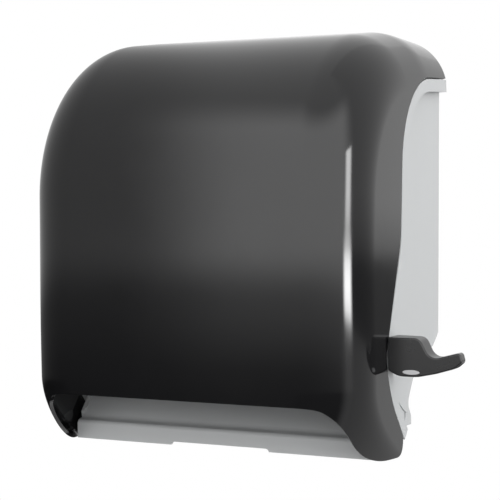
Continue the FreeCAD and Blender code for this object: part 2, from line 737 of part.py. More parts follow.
def chute_body():
    """Grey ramp that turns the towel forward, with its lip, the notch in it, and ribs underneath."""
    body = new_body("towel_chute")
    lip = -value("chuteOut")
    wall = value("chuteWall")
    slope = math.tan(math.radians(value("rampSlope")))
    bend = (lip + 8.5, value("lipBottom + lipHeight") + 2)
    ridge = (bend[0] + (value("rampTop") - bend[1]) / slope, value("rampTop"), 0)
    path = [(lip, value("lipBottom"), 0), (lip, value("lipBottom + lipHeight"), 3.5), (*bend, 9), ridge]
    side = sketch_on(body, "RampOutline", "YZ_Plane")
    outline(side, band(path, 0, -wall))
    pad(body, "Ramp", side, "panelWidth - 2 * panelWall", midplane=True)
    for number, x in enumerate((-100, -40, 36, 96)):
        rib = sketch_on(body, "RampRib%d" % number, "YZ_Plane", str(x))
        inside = lip + wall / 2
        polygon(rib, [(str(v), str(w)) for v, w in (
            (inside, value("lipBottom") + 5), (inside + 2, value("lipBottom") + 5),
            (ridge[0] + 5, ridge[1] - 12), (ridge[0] - 1, ridge[1] - 6), (bend[0] + 2, bend[1]),
            (inside, bend[1] - 3.5))])
        pad(body, "RampRibPad%d" % number, rib, "2")
    notch = sketch_on(body, "NotchOutline", "XZ_Plane", "chuteOut - 6")
    outline(notch, [(-value("notchHalf"), -1, 0), (value("notchHalf"), -1, 0),
                    (value("notchHalf") - 1, value("lipBottom + notchRise"), 3),
                    (-value("notchHalf") + 1, value("lipBottom + notchRise"), 3)])
    pocket(body, "Notch", notch, "8")
    gears = sketch_on(body, "GearRoom", "YZ_Plane", "panelWidth / 2 - 33.4")
    polygon(gears, [("-160", "41"), ("-40", "41"), ("-40", "90"), ("-160", "90")])
    pocket(body, "GearRoomCut", gears, "40")
    arm = sketch_on(body, "ArmRoom", "YZ_Plane", "panelWidth / 2 - 14.5")
    circle(arm, LEVER_Y, "leverHeight", "slotOuter + 1")
    pocket(body, "ArmRoomCut", arm, "20")
    return body


def rail_body():
    """Cross member of angle section that carries the tear bar."""
    body = new_body("front_rail")
    side = sketch_on(body, "RailOutline", "YZ_Plane")
    front, web, back = ("-railOut", "-railOut + 2.5", "-railOut + 18")
    low, ledge, top = ("railBottom", "railBottom + 16.5", "railBottom + 19")
    polygon(side, [(front, low), (web, low), (web, ledge), (back, ledge), (back, top), (front, top)])
    pad(body, "Angle", side, "panelWidth - 2 * panelWall", midplane=True)
    holes = sketch_on(body, "ScrewHoles", "XZ_Plane", "railOut - 4")
    for x in TEAR_SCREWS:
        circle(holes, str(x), "railBottom + 8", "1.47")
    pocket(body, "ScrewHolesCut", holes, "6")
    return body


def tear_bar_body():
    """Steel strip whose lower edge is cut into teeth."""
    body = new_body("tear_bar")
    pitch = value("toothPitch")
    count = 62
    low = value("railBottom - barDrop")
    half = count * pitch / 2
    teeth = []
    for number in range(count):
        teeth.append((-half + number * pitch, low + pitch / 2, 0))
        teeth.append((-half + (number + 0.5) * pitch, low, 0))
    teeth.append((half, low + pitch / 2, 0))
    strip = sketch_on(body, "StripOutline", "XZ_Plane", "railOut - 3.5")
    outline(strip, teeth + [(half, low + 16, 2), (-half, low + 16, 2)])
    pad(body, "Strip", strip, "1")
    holes = sketch_on(body, "StripHoles", "XZ_Plane", "railOut - 5")
    for x in TEAR_SCREWS:
        circle(holes, str(x), "railBottom + 8", "1.6")
    pocket(body, "StripHolesCut", holes, "4")
    return body


def headed_screw(name, head, head_height, shank, shank_length, at, to_wall):
    """A hexagon-headed screw with its head against the plane of its place, driven to the wall or from it."""
    under = "%s - %s" % (at[1], head_height) if to_wall else at[1]
    top = rod(name + "Head", head, head_height, (at[0], under, at[2]), "Y", 6)
    low = "%s - 0.5" % at[1] if to_wall else "%s - %s" % (at[1], shank_length)
    bar = rod(name + "Shank", shank, "%s + 0.5" % shank_length, (at[0], low, at[2]), "Y", 12)
    return together(name, [top, bar])


def feed_set():
    """Feed shaft with its core and rubber sleeves, its two bushes, and the inner race of the clutch."""
    at = lambda x: (x, FEED_Y, FEED_Z)
    shaft = "shaftRadius"
    keep(rod("FeedShaft", shaft, "244", at("-131")), "feed_shaft")
    keep(tube("FeedCore", "coreRadius", "%s + pressFit" % shaft, "198", at("-102")), "feed_core")
    sleeves = [tube("Sleeve%d" % n, "feedRadius", "coreRadius + pressFit", "40", at(str(x - 20)))
               for n, x in enumerate(BANDS)]
    keep(group("FeedSleeves", sleeves), "feed_sleeves")
    keep(tube("ClutchHub", "8", "%s + pressFit" % shaft, "8.5", at(str(GEAR_IN - 0.5))), "clutch_hub")
    bore = "shaftRadius + runFit"
    keep(tube("LeftBush", "shaftRadius + 3", bore, "10.5", at("-131.5")), "left_bush")
    keep(tube("RightBush", "shaftRadius + 2.5", bore, "4.4", at("97.7")), "right_bush")


def pinion_body():
    """Drive pinion: the outer race of the one-way clutch, with teeth round it."""
    body = new_body("drive_pinion", ("0", FEED_Y, FEED_Z))
    teeth = sketch_on(body, "PinionTeeth", "YZ_Plane", str(GEAR_IN))
    step = 360 / value("pinionTeeth")
    outline(teeth, gear_teeth(int(value("pinionTeeth")), value("meshAngle") - 180 + step / 2,
                              int(value("pinionTeeth")), 1.0))
    pad(body, "PinionPad", teeth, "gearWidth")
    bore = sketch_on(body, "PinionBore", "YZ_Plane", str(GEAR_IN - 1))
    circle(bore, "0", "0", "8 + runFit")
    pocket(body, "PinionBoreCut", bore, "gearWidth + 2")
    return body


def sector_body():
    """Toothed sector on the lever's hub: its middle tooth points at the feed shaft when at rest."""
    body = new_body("sector_gear", ("0", LEVER_Y, "leverHeight"))
    count = int(value("sectorTeeth"))
    step = 360 / count
    before = 7
    first = value("meshAngle") - before * step
    teeth = gear_teeth(count, first, before + 3, 0.8)
    hub = 15
    last = first + (before + 2) * step

    def spoke(angle, radius):
        turned = math.radians(angle)
        return (radius * math.cos(turned), radius * math.sin(turned), 0)

    after = [spoke(last + 3.2, 43), spoke(last + 3.2, 36), spoke(last + 30, hub + 2), spoke(last + 95, hub)]
    ahead = [spoke(first - 95, hub), spoke(first - 30, hub + 2), spoke(first - 3.2, 36), spoke(first - 3.2, 43)]
    plate = sketch_on(body, "SectorOutline", "YZ_Plane", str(GEAR_IN))
    outline(plate, teeth + after + ahead)
    pad(body, "SectorPad", plate, "gearWidth")
    bore = sketch_on(body, "SectorBore", "YZ_Plane", str(GEAR_IN - 1))
    circle(bore, "0", "0", "11 + pressFit")
    pocket(body, "SectorBoreCut", bore, "gearWidth + 2")
    return body


def pinch_set():
    """Sprung yoke behind the feed roller: arms and bar, its rod, its shaft and rollers, its springs."""
    body = new_body("pinch_frame")
    rod_at = Vector(-value("rodOut"), value("rodHeight"), 0)
    axle_at = Vector(value(PINCH_Y), value(PINCH_Z), 0)
    run = axle_at - rod_at
    run.normalize()
    across = Vector(-run.y, run.x, 0)

    def spot(origin, along, aside, radius):
        place = origin + run * along + across * aside
        return (place.x, place.y, radius)

    bar = sketch_on(body, "PinchBarOutline", "YZ_Plane")
    outline(bar, [spot(rod_at, 10.5, -3, 0), spot(rod_at, 16.5, -3, 0), spot(rod_at, 16.5, 3, 0),
                  spot(rod_at, 10.5, 3, 0)])
    pad(body, "PinchBar", bar, "189", midplane=True)
    arm = sketch_on(body, "PinchArmOutline", "YZ_Plane", "94")
    outline(arm, [spot(rod_at, -6, -6, 5.9), spot(axle_at, 5.5, -5.5, 5.4), spot(axle_at, 5.5, 5.5, 5.4),
                  spot(rod_at, -6, 6, 5.9)])
    arm_pad = pad(body, "PinchArm", arm, "3")
    mirrored(body, "PinchArms", [arm_pad])
    for name, y, z, radius in (("Rod", "-rodOut", "rodHeight", "rodRadius + runFit"),
                               ("Axle", PINCH_Y, PINCH_Z, "pinchShaft + runFit")):
        hole = sketch_on(body, name + "Hole", "YZ_Plane")
        circle(hole, y, z, radius)
        pocket(body, name + "HoleCut", hole, "220", midplane=True)
    keep(rod("PinchRod", "rodRadius", "231", ("-130", "-rodOut", "rodHeight")), "pinch_rod")
    at = lambda x: (x, PINCH_Y, PINCH_Z)
    keep(rod("PinchShaft", "pinchShaft", "196", at("-98")), "pinch_shaft")
    rollers = [tube("PinchBand%d" % n, "pinchRadius", "pinchShaft + pressFit", "36", at(str(x - 18)))
               for n, x in enumerate(BANDS)]
    keep(group("PinchRollers", rollers), "pinch_rollers")
    springs = []
    for number, (x, turned) in enumerate(((86, 90), (-86, -90))):
        spring = coil("PinchSpring%d" % number, "rodRadius", 1.2, 4.08, 1.5, 7, 8.5)
        spin = Rotation(Vector(0, 1, 0), turned)
        spring.Placement = Placement(Vector(x, -value("rodOut"), value("rodHeight")),
                                     Rotation(Vector(1, 0, 0), PINCH_SPRING_TURN[number]).multiply(spin))
        springs.append(spring)
    keep(group("PinchSprings", springs), "pinch_springs")


def gear_plate_body():
    """Steel bracket on the back wall: bearing for the feed shaft, the pinch rod and the lever's pin."""
    body = new_body("gear_plate")
    side = sketch_on(body, "PlateOutline", "YZ_Plane", str(GEAR_PLATE))
    outline(side, [(-3, 121, 0), (-70, 121, 8), (-124, 103, 12), (-124, 78, 12), (-100, 76, 10),
                   (-60, 80, 10), (-18, 84, 0), (-3, 92, 0)])
    pad(body, "Plate", side, str(GEAR_PLATE_WALL))
    flange = sketch_on(body, "FlangeOutline", "XZ_Plane", "plateWall")
    near, far = (str(GEAR_PLATE - 15), str(GEAR_PLATE + GEAR_PLATE_WALL))
    polygon(flange, [(near, "90.5"), (far, "90.5"), (far, "118"), (near, "118")])
    pad(body, "Flange", flange, "2")
    holes = sketch_on(body, "BearingHoles", "YZ_Plane", str(GEAR_PLATE - 1))
    circle(holes, FEED_Y, FEED_Z, "shaftRadius + 2.5 + pressFit")
    circle(holes, "-rodOut", "rodHeight", "rodRadius + pressFit")
    circle(holes, LEVER_Y, "leverHeight", "5 + pressFit")
    pocket(body, "BearingHolesCut", holes, "4")
    screws = sketch_on(body, "PlateScrewHoles", "XZ_Plane", "plateWall - 1")
    for z in PLATE_SCREWS:
        circle(screws, str(GEAR_PLATE - 8), str(z), "1.9 + pressFit")
    pocket(body, "PlateScrewCut", screws, "5")
    driven = []
    for number, z in enumerate(PLATE_SCREWS):
        at = (str(GEAR_PLATE - 8), "-plateWall - 2", str(z))
        driven.append(headed_screw("PlateScrew%d" % number, "3.6", "2", "1.9", "4.4", at, True))
    keep(group("PlateScrews", driven), "gear_plate_screws")


def lever_set():
    """Lever: hub and arm inside, a neck through the panel's slot, a flat paddle outside."""
    body = new_body("lever")
    hub = sketch_on(body, "HubOutline", "YZ_Plane", str(GEAR_IN))
    circle(hub, LEVER_Y, "leverHeight", "11")
    pad(body, "Hub", hub, "24.2")
    reach = value("slotInner") + 9
    rest = math.radians(LEVER_ANGLE)
    along = Vector(math.cos(rest), math.sin(rest), 0)
    across = Vector(-along.y, along.x, 0)
    pivot = Vector(value(LEVER_Y), value("leverHeight"), 0)

    def spot(distance, aside, radius):
        place = pivot + along * distance + across * aside
        return (place.x, place.y, radius)

    arm = sketch_on(body, "ArmOutline", "YZ_Plane", str(ARM_IN))
    outline(arm, [spot(0, -10.6, 0), spot(reach, -8.5, 4), spot(reach, 8.5, 4), spot(0, 10.6, 0)])
    pad(body, "Arm", arm, str(ARM_WALL))
    neck = sketch_on(body, "NeckOutline", "YZ_Plane", str(ARM_IN + ARM_WALL - 1))
    inner = reach - 7.5
    polygon(neck, [(str(place[0]), str(place[1])) for place in (
        spot(inner, -7.5, 0), spot(reach - 0.9, -7.5, 0), spot(reach - 0.9, 7.5, 0), spot(inner, 7.5, 0))])
    side = value(HALF) + 0.8
    pad(body, "Neck", neck, str(side - (ARM_IN + ARM_WALL - 1) + 1))
    face = value("chuteOut") + 2
    paddle = sketch_on(body, "PaddleOutline", "XZ_Plane", str(face - 22))
    outline(paddle, [(side, 94, 0), (163.5, 94, 7), (171.8, 78.4, 9), (194, 84.6, 2.6), (196.2, 77.6, 3.2),
                     (190, 72.6, 12), (176, 68.4, 30), (162, 65.4, 30), (147, 65.4, 18), (side, 69.4, 0)])
    pad(body, "Paddle", paddle, "22")
    taper = sketch_on(body, "TaperOutline", "XY_Plane", "55")
    outline(taper, [(side - 1, -face + 40, 0), (side - 1, -face + 22.1, 0), (side + 8, -face + 21, 14),
                    (182, -face + 14, 30), (198, -face + 8, 0), (205, -face + 8, 0), (205, -face + 40, 0)])
    pocket(body, "Taper", taper, "50")
    doc.recompute()
    front = lambda edge: on_face(edge, "y", -face) and not on_face(edge, "x", side)
    round_edges(body, "FaceEdge", "1.1", front)
    seat = sketch_on(body, "InsetSeat", "XZ_Plane", str(face - 1.2))
    oval(seat, INSET[0], INSET[1], INSET[2] + 0.02, INSET[3] + 0.02)
    pocket(body, "InsetSeatCut", seat, "3")
    bore = sketch_on(body, "LeverBore", "YZ_Plane", str(GEAR_IN - 1))
    circle(bore, LEVER_Y, "leverHeight", "5 + runFit")
    pocket(body, "LeverBoreCut", bore, "30")

    plug = new_body("lever_inset")
    shape = sketch_on(plug, "InsetOutline", "XZ_Plane", str(face - 1.2))
    oval(shape, *INSET)
    pad(plug, "InsetPad", shape, "1.35")

    pin = together("LeverPin", [
        rod("LeverPinBar", "5", "33.6", ("97", LEVER_Y, "leverHeight")),
        rod("LeverPinHead", "7.5", "2", ("97", LEVER_Y, "leverHeight"))])
    keep(pin, "lever_pin")
    spring = coil("LeverSpring", "11", 1.4, 4.94, 1.25, 14, 16)
    spring.Placement = Placement(Vector(111.4, pivot.x, pivot.y),
                                 Rotation(Vector(1, 0, 0), 10).multiply(Rotation(Vector(0, 1, 0), 90)))
    keep(spring, "lever_spring")
    distance = 60
    stop = pivot + along * distance + across * -(10.6 - 2.1 * distance / reach + 4 + 0.3)
    keep(rod("LeverBumper", "4", "8", (str(value(PANEL_IN) - 8), str(stop.x), str(stop.y))), "lever_bumper")


def oval(sketch, x, z, half_long, half_short):
    """An ellipse that lies along the sketch's x."""
    centre = Vector(x, z, 0)
    ellipse = Part.Ellipse(centre + Vector(half_long, 0, 0), centre + Vector(0, half_short, 0), centre)
    sketch.addGeometry(ellipse, False)


def roll_side(side, sign):
    """One side's roll arm with its pin, spring and hub; sign is -1 on the left and 1 on the right."""
    out = lambda inner, outer: str(inner) if sign > 0 else str(-outer)
    axis_x = value("rollWidth / 2 + armOffset + armThick")
    inner = axis_x - value("armThick") + 1.5
    roll = Vector(-value("rollOut"), value("rollHeight"), 0)
    pin_y = -value("armPinOut")
    low = roll.y - 20
    body = new_body(side + "_roll_arm")
    arm = sketch_on(body, "RollArmOutline", "YZ_Plane", out(inner, inner + value("armThick")))
    tip = roll.x - 17
    outline(arm, [(pin_y - 4.5, roll.y + 14, 0), (pin_y - 20, roll.y + 12, 14), (tip, roll.y + 17, 14),
                  (tip, roll.y - 17, 14), (pin_y - 20, roll.y - 10, 14), (pin_y - 4.5, roll.y - 6, 0)])
    pad(body, "RollArm", arm, "armThick")
    knuckle = sketch_on(body, "Knuckle", "XY_Plane", str(low + 4.3))
    circle(knuckle, str(sign * axis_x), "-armPinOut", "armPin + 3.5")
    pad(body, "KnucklePad", knuckle, "31.4")
    rings = (("Shoulder", "stubRadius + 3", 104.2, inner - 103.7), ("Stub", "stubRadius", 90.5, inner - 89.5),
             ("Cap", "stubRadius + 1", 90.2, 1.5))
    for name, radius, start, length in rings:
        ring = sketch_on(body, name, "YZ_Plane", out(start, start + length))
        circle(ring, "-rollOut", "rollHeight", radius)
        pad(body, name + "Pad", ring, str(length))
    bore = sketch_on(body, "PinBore", "XY_Plane", str(low + 3))
    circle(bore, str(sign * axis_x), "-armPinOut", "armPin + runFit")
    pocket(body, "PinBoreCut", bore, "34")

    keep(rod(side + "Pin", "armPin", "43", (str(sign * axis_x), "-armPinOut", "rollHeight - 21"), "Z"),
         side + "_arm_pin")
    spring = coil(side + "ArmSpring", "armPin + 3.5", 1.2, 5.4, 1.0, 3, 11.6)
    spring.Placement = Placement(Vector(sign * axis_x, pin_y, low + 6),
                                 Rotation(Vector(0, 0, 1), 200 if sign > 0 else 160))
    keep(spring, side + "_arm_spring")

    hub = new_body(side + "_roll_hub", ("0", "-rollOut", "rollHeight"))
    shape = sketch_on(hub, "HubSection", "XZ_Plane")
    bore_r = value("stubRadius + runFit")
    core = value("hubRadius")
    rim = [(92, bore_r, 0), (104, bore_r, 0), (104, 22, 0), (101.9, 22, 0), (101.9, core, 0),
           (96, core, 0), (92, core - 3, 0)]
    outline(shape, [(sign * x, z, radius) for x, z, radius in rim][::sign])
    turned = hub.newObject("PartDesign::Revolution", "HubTurned")
    turned.Profile = shape
    turned.ReferenceAxis = (shape, ["H_Axis"])
    turned.Angle = 360
    shape.Visibility = False
    hub.Tip = turned
    hinge = rod(side + "HingePin", "hingePin", "12", (out(124, 136), HINGE_Y, "hingeHeight"))
    keep(hinge, side + "_hinge_pin")


def lock_set():
    """Key lock in the top of the cover: barrel, nut, turning plug, cam."""
    at = lambda z: ("0", "-lockOut", z)
    barrel = together("BarrelBody", [rod("BarrelHead", "barrelRadius + 2", "1.5", at("coverHeight"), "Z"),
                                     rod("BarrelBar", "barrelRadius", "22.5", at("coverHeight - 22"), "Z")])
    bore = rod("BarrelBore", "plugRadius + runFit", "30", at("coverHeight - 25"), "Z")
    keep(less("Barrel", barrel, [bore]), "lock_barrel")
    nut = doc.addObject("Part::Prism", "NutBody")
    nut.Polygon = 6
    bind(nut, "Circumradius", "barrelRadius + 4")
    bind(nut, "Height", "3.2")
    bind(nut, "Placement.Base.y", "-lockOut")
    bind(nut, "Placement.Base.z", "coverHeight - coverWall - 3.2")
    thread = rod("NutBore", "barrelRadius + pressFit", "10", at("coverHeight - 12"), "Z")
    keep(less("Nut", nut, [thread]), "lock_nut")
    plug = together("PlugBody", [rod("PlugBar", "plugRadius", "25.1", at("coverHeight - 23.8"), "Z"),
                                 rod("PlugTail", "3", "4.5", at("coverHeight - 27"), "Z")])
    key = block("Keyway", ("1.4", "6", "6"), ("-0.7", "-lockOut - 3", "coverHeight - 4"))
    keep(less("Plug", plug, [key]), "lock_plug")
    cam = new_body("lock_cam")
    shape = sketch_on(cam, "CamOutline", "XY_Plane", "coverHeight - 26")
    outline(shape, [(-5.5, -value("lockOut") - 5.5, 5), (5.5, -value("lockOut") - 5.5, 5),
                    (4.5, -value("lockOut") + 20, 3), (-4.5, -value("lockOut") + 20, 3)])
    pad(cam, "CamPad", shape, "2")
    hole = sketch_on(cam, "CamHole", "XY_Plane", "coverHeight - 27")
    circle(hole, "0", "-lockOut", "3 + pressFit")
    pocket(cam, "CamHoleCut", hole, "4")


def screw_group():
    """Screws that hold the tear bar against the rail."""
    driven = []
    for number, x in enumerate(TEAR_SCREWS):
        at = (str(x), "-railOut + 3.5", "railBottom + 8")
        driven.append(headed_screw("TearScrew%d" % number, "2.8", "1.6", "1.45", "3.4", at, False))
    keep(group("TearBarScrews", driven), "tear_bar_screws")


cover_body()
chassis_body()
chute_body()
rail_body()
tear_bar_body()
screw_group()
feed_set()
pinion_body()
sector_body()
pinch_set()
gear_plate_body()
lever_set()
roll_side("left", -1)
roll_side("right", 1)
lock_set()

doc.recompute()
for thing in doc.Objects:
    assert not {"Invalid", "Error"} & set(thing.State), (thing.Label, thing.State)
os.makedirs("parts", exist_ok=True)
for piece in pieces:
    shape = piece.Shape
    assert not shape.isNull() and shape.isValid(), piece.Label
    shape.exportStep("parts/%s.step" % piece.Label)
    box = shape.BoundBox
    print(piece.Label, len(shape.Solids), round(shape.Volume), [round(v, 1) for v in (
        box.XMin, box.XMax, box.YMin, box.YMax, box.ZMin, box.ZMax)])
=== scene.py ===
import json
import math

import bpy
import numpy as np
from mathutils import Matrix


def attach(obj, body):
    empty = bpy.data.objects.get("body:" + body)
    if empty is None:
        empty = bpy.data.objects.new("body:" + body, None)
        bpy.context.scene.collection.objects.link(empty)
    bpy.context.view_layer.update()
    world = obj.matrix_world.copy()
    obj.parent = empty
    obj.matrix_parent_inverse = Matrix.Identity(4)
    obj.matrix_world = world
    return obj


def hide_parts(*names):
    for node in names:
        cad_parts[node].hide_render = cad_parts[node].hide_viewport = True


# Lever paper towel dispenser: the glossy cover is rebuilt here as a fine surface with a rounded edge,
# the other pieces keep their CAD solids, and every piece gets a procedural material.
# Lengths are in metres in the row frame: X to the right, Y into the wall, Z up, origin at the wall screws.

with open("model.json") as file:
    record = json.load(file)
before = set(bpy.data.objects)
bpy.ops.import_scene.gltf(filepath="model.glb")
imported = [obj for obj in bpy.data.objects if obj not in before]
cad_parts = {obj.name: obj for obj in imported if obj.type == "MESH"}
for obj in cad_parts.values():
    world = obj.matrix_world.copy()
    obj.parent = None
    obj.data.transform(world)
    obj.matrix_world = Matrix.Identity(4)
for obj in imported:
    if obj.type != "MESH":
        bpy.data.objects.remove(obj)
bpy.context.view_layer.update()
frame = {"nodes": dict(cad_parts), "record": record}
NODES = frame["nodes"]

BASE = -0.195  # the dispenser's lowest point
SIDE = 0.139  # half the cover's width
DEPTH = 0.216  # the cover's front, out from the wall
TOP = 0.330  # the cover's height
LEVEL = 0.061  # how far out from the wall the top runs level
LEVEL_BEND = 0.150  # radius with which it starts to fall
SLOPE = math.radians(8.3)  # its fall towards the front
CROWN = 0.128  # radius with which it rolls over
BELOW_CROWN = 0.150  # any height below the crown
CORNER = 0.045  # radius of the upright corners
BELLY = 0.118  # height at which the front starts to turn in
BELLY_SOFT = 0.045  # half the height over which it does so
TUCK = 0.0046  # how far the front is turned in at the bottom
WALL = 0.0028  # the cover's wall
WAIST = 0.0008  # how far the sides draw in
WAIST_HEIGHT = 0.150
WAIST_REACH = 0.055
FOOT = 0.058  # height below which the corners grow rounder
FOOT_GROWTH = 0.060
FOOT_POWER = 1.9
ARCH = 0.0473  # height of the front arch
ARCH_RADIUS = 0.012
ARCH_INSET = 0.0004  # the arch's corner, behind the front
PAST_FRONT = 0.025  # how far the side edge runs on past it
TOE_RADIUS = 0.070
LEG_SLOPE = math.radians(44)
EDGE_TOP = 0.2965  # the side edge at the wall
EDGE_SHOULDER = (-0.111, 0.28895, 0.072)  # y, z and radius of its corners
EDGE_WAIST = (-0.1148, 0.162, 0.060)
NOSE_RUN = 0.009  # straight run before the lever's sweep
NOSE_RADIUS = 0.020
HINGE = (-0.121, 0.012)
KNUCKLE_ENDS = (0.1326, 0.1364)  # x of a hinge knuckle's ends
KNUCKLE_RADII = (0.00305, 0.0075)  # its bore and its outside
PIVOT = (-0.056, 0.095)  # the lever's pivot
SWEEP = 0.0928  # radius of the lever's sweep, and the angles it spans
SWEEP_START = math.radians(195)
SWEEP_END = math.radians(222.5)

ARC_POINTS = 49  # points on each arc and round a knuckle
CROWN_ROWS = 130  # rows and columns of the cover's grid
FRONT_ROWS = 80
LEG_ROWS = 90
SIDE_COLUMNS = 80
MIDDLE_COLUMNS = 62


# Shapes of the cover, on the bench frame: Y towards the wall, Z up from the lowest point.

def rounded(corners):
    """Points of a path of straight runs joined by tangent arcs, from corners (y, z, radius).

    At each corner the arc leaves the run radius / tan(half the angle) before the corner.
    """
    path = [np.array([corners[0][:2]])]
    for before, corner, after in zip(corners[:-2], corners[1:-1], corners[2:]):
        here = np.array(corner[:2])
        back = np.array(before[:2]) - here
        ahead = np.array(after[:2]) - here
        back /= np.linalg.norm(back)
        ahead /= np.linalg.norm(ahead)
        half = math.acos(np.clip(back @ ahead, -1, 1)) / 2
        middle = (back + ahead) / np.linalg.norm(back + ahead)
        centre = here + middle * corner[2] / math.sin(half)
        start = here + back * corner[2] / math.tan(half) - centre
        end = here + ahead * corner[2] / math.tan(half) - centre
        first = math.atan2(start[1], start[0])
        turn = (math.atan2(end[1], end[0]) - first + math.pi) % (2 * math.pi) - math.pi
        angle = first + turn * np.linspace(0, 1, ARC_POINTS)
        path.append(centre + corner[2] * np.stack([np.cos(angle), np.sin(angle)], 1))
    path.append(np.array([corners[-1][:2]]))
    return np.concatenate(path)


def side_edge():
    """The cover's side edge, from the wall down to the heel of the leg, forward and up to the arch."""
    start, end = SWEEP_START, SWEEP_END

    def swept(radius, angle):
        return (PIVOT[0] + radius * math.cos(angle), PIVOT[1] + radius * math.sin(angle))

    nose = swept(SWEEP, start)
    corner = swept(SWEEP / math.cos((end - start) / 2), (start + end) / 2)
    low = swept(SWEEP, end)
    heading = (-math.sin(end), math.cos(end))
    hinge = (HINGE[0] - low[0], HINGE[1] - low[1])
    heel = abs(heading[0] * hinge[1] - heading[1] * hinge[0])
    bottom = HINGE[1] - heel
    run = (bottom - low[1]) / heading[1]
    arch = ARCH_INSET + TUCK - DEPTH
    toe = arch + (ARCH - bottom) / math.tan(LEG_SLOPE)
    return rounded([
        (0.0, EDGE_TOP, 0), EDGE_SHOULDER, EDGE_WAIST,
        (nose[0] + NOSE_RUN * math.sin(start), nose[1] - NOSE_RUN * math.cos(start), NOSE_RADIUS),
        (corner[0], corner[1], SWEEP), (low[0] + run * heading[0], bottom, heel),
        (toe, bottom, TOE_RADIUS), (arch, ARCH, ARCH_RADIUS), (arch - PAST_FRONT, ARCH, 0)]), bottom


EDGE, BOTTOM = side_edge()


def crossings(origins, inward):
    """The nearest and the furthest distance at which each ray meets the side edge.

    A ray o + t d meets the run a + s e where t = ((a - o) x e) / (d x e) and s, found alike, is 0 to 1.
    """
    gap = EDGE[None, :-1] - origins[:, None]
    run = (EDGE[1:] - EDGE[:-1])[None]
    way = inward[:, None]
    turn = way[..., 0] * run[..., 1] - way[..., 1] * run[..., 0]
    turn = np.where(np.abs(turn) < 1e-12, np.inf, turn)
    reach = (gap[..., 0] * run[..., 1] - gap[..., 1] * run[..., 0]) / turn
    share = (gap[..., 0] * way[..., 1] - gap[..., 1] * way[..., 0]) / turn
    met = (share >= -1e-9) & (share <= 1 + 1e-9) & (reach > 1e-7)
    return np.where(met, reach, np.inf).min(1), np.where(met, reach, -np.inf).max(1)


def front_y(z):
    """Y of the cover's front at heights: upright, then turned in below the belly by a parabola's start."""
    slope = TUCK / BELLY
    soft = BELLY_SOFT
    eased = slope * (BELLY + soft - z) ** 2 / (4 * soft)
    return -DEPTH + np.where(z > BELLY + soft, 0, np.where(z < BELLY - soft, slope * (BELLY - z), eased))


def crown_profile():
    """Points and inward normals of the cover's top and crown, evenly spaced along the path.

    The top runs level from the wall, falls gently towards the front and rolls over by one large arc.
    """
    fall = (DEPTH - LEVEL) * math.tan(SLOPE)
    path = rounded([(0.0, TOP, 0), (-LEVEL, TOP, LEVEL_BEND), (-DEPTH, TOP - fall, CROWN),
                    (-DEPTH, BELOW_CROWN, 0)])
    path = path[path[:, 1] > path[-2, 1] - 1e-9]
    steps = np.linalg.norm(np.diff(path, axis=0), axis=1)
    path, steps = path[np.append(True, steps > 1e-9)], steps[steps > 1e-9]
    along = np.append(0, np.cumsum(steps))
    even = np.linspace(0, along[-1], CROWN_ROWS)
    points = np.stack([np.interp(even, along, path[:, 0]), np.interp(even, along, path[:, 1])], 1)
    way = np.gradient(points, axis=0)
    way[0], way[-1] = (-1, 0), (0, -1)
    way /= np.linalg.norm(way, axis=1)[:, None]
    return points, np.stack([-way[:, 1], way[:, 0]], 1)


def arch_height():
    """The height at which the side edge, on its way up the leg, comes out through the front."""
    tail = EDGE[-(ARC_POINTS + 2):]
    ahead = tail[:, 0] - front_y(tail[:, 1])
    last = np.nonzero(ahead > 0)[0][-1]
    share = ahead[last] / (ahead[last] - ahead[last + 1])
    return tail[last, 1] + share * (tail[last + 1, 1] - tail[last, 1])


def corner_radius(z):
    """The radius of the upright corners at heights: constant, then growing by a power towards the feet."""
    return CORNER + FOOT_GROWTH * np.clip((FOOT - z) / FOOT, 0, 1) ** FOOT_POWER


def along_section(depth, radius):
    """The distance across the section at which a depth is reached: arc length, then straight on."""
    turned = np.arccos(np.clip(1 - depth / radius, 0, 1)) * radius
    return np.where(depth < radius, turned, radius * (math.pi / 2 - 1) + depth)


def waist(z):
    """How far the cover draws in, in metres, at heights: a bell curve."""
    return WAIST * np.exp(-((z - WAIST_HEIGHT) / WAIST_REACH) ** 2)


def on_side(origins, inward, distance, radius):
    """Points of the right side at distances across the section, one row of them for each profile point.

    Round the corner x = SIDE - R + R sin(a) and depth = R - R cos(a), with a = distance / R; past it only
    the depth grows. The waist draws x in.
    """
    angle = np.minimum(distance / radius, math.pi / 2)
    depth = radius * (1 - np.cos(angle)) + np.maximum(distance - radius * math.pi / 2, 0)
    y = origins[:, :1] + inward[:, :1] * depth
    z = origins[:, 1:] + inward[:, 1:] * depth
    x = SIDE - radius + radius * np.sin(angle) - waist(z) * np.minimum(depth / CORNER, 1)
    return np.stack([x, y, z + BASE], -1)


def to_left(points):
    """The same rows on the left, in the order of rising x."""
    return points[:, ::-1] * np.array([-1.0, 1.0, 1.0])


def quads(index):
    """Four-sided faces between the neighbours of a grid of vertex numbers."""
    return np.stack([index[:-1, :-1], index[1:, :-1], index[1:, 1:], index[:-1, 1:]], -1).reshape(-1, 4)


